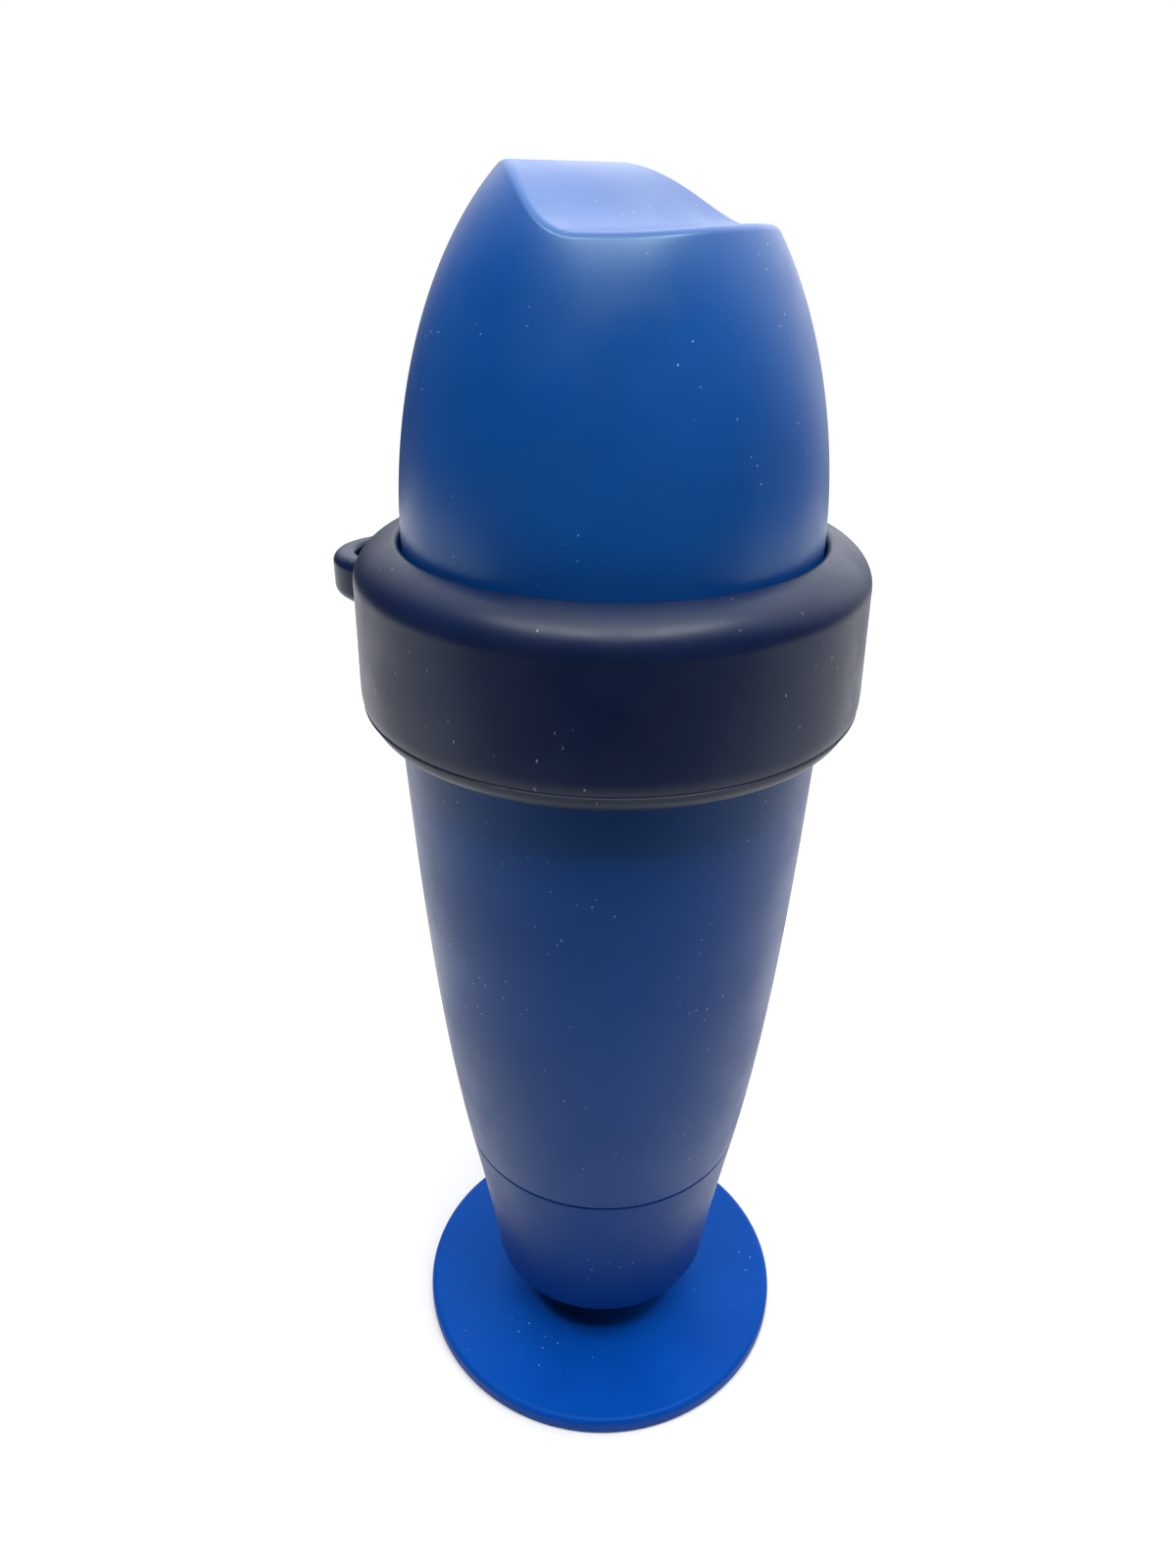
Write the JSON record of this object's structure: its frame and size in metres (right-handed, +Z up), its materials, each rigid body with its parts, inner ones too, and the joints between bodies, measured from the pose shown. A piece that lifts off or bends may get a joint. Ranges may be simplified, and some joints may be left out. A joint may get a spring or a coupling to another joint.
{
  "type": "floating water analyser",
  "caption": "Floating water analyser with a wave-topped head, rubber float collar with tether lug, tapered hull, screw-on foot with a round base disc, and a plug-in probe.",
  "frame": {"origin": "centre of the foot disc's underside, on the body's axis", "axes": "+Z up along the body's axis, +Y towards the float collar's tether lug, +X to the right when looking along +Y"},
  "size_m": [0.0976, 0.109, 0.2654],
  "materials": {
    "head_plastic": "satin moulded blue",
    "hull_plastic": "satin moulded blue",
    "foot_plastic": "satin moulded blue",
    "disc_plastic": "satin moulded blue",
    "collar_rubber": "matte dark navy",
    "seal_rubber": "smooth black",
    "dark_plastic": "matte",
    "chassis_plastic": "matte",
    "ballast_iron": "coated",
    "screw_steel": "brushed",
    "circuit_board": "solder mask",
    "flex_strip": "polyimide film",
    "cell_wrap": "shrink wrap",
    "desiccant_paper": "non-woven",
    "clear_glass": "clear",
    "platinum_tip": "polished",
    "gold_contact": "plated"
  },
  "bodies": {
    "hull": {"hull_shell": "hull_plastic", "probe_socket": "dark_plastic", "socket_nut": "dark_plastic", "socket_pins": "gold_contact", "ballast_ring": "ballast_iron", "chassis_frame": "chassis_plastic", "chassis_screws": "screw_steel", "main_board": "circuit_board", "radio_can": "screw_steel", "logic_chips": "dark_plastic", "board_connector": "chassis_plastic", "sensor_flex": "flex_strip", "battery_cell_a": "cell_wrap", "battery_cell_b": "cell_wrap", "cell_cradle": "dark_plastic", "cell_contacts": "screw_steel", "antenna_board": "circuit_board", "desiccant_pack": "desiccant_paper", "head_seal": "seal_rubber"},
    "head": {"head_shell": "head_plastic"},
    "collar": {"float_collar": "collar_rubber"},
    "foot_seal": {"foot_seal": "seal_rubber"},
    "foot": {"foot_sleeve": "foot_plastic", "foot_disc": "disc_plastic", "foot_screws": "screw_steel"},
    "probe": {"probe_body": "dark_plastic", "glass_bulb": "clear_glass", "reference_plug": "chassis_plastic", "redox_tip": "platinum_tip", "conductivity_pins": "screw_steel", "temperature_tip": "screw_steel", "probe_seals": "seal_rubber", "probe_pads": "gold_contact"}
  },
  "joints": [
    {"name": "head_lift", "type": "slide", "parent": "hull", "child": "head", "axis": [0, 0, 1], "range_m": [0, 0.06]},
    {"name": "collar_lift", "type": "slide", "parent": "hull", "child": "collar", "axis": [0, 0, 1], "range_m": [0, 0.1]},
    {"name": "foot_drop", "type": "slide", "parent": "hull", "child": "foot_seal", "axis": [0, 0, -1], "range_m": [0, 0.0101]},
    {"name": "foot_turn", "type": "hinge", "parent": "foot_seal", "child": "foot", "pos_m": [0, 0, 0.05], "axis": [0, 0, -1], "range_deg": [0, 900]},
    {"name": "probe_pull", "type": "slide", "parent": "hull", "child": "probe", "axis": [0, 0, -1], "range_m": [0, 0.02]}
  ],
  "couplings": [
    {"joint": "foot_drop", "follows": "foot_turn", "m_per_rad": 0.0006366}
  ]
}
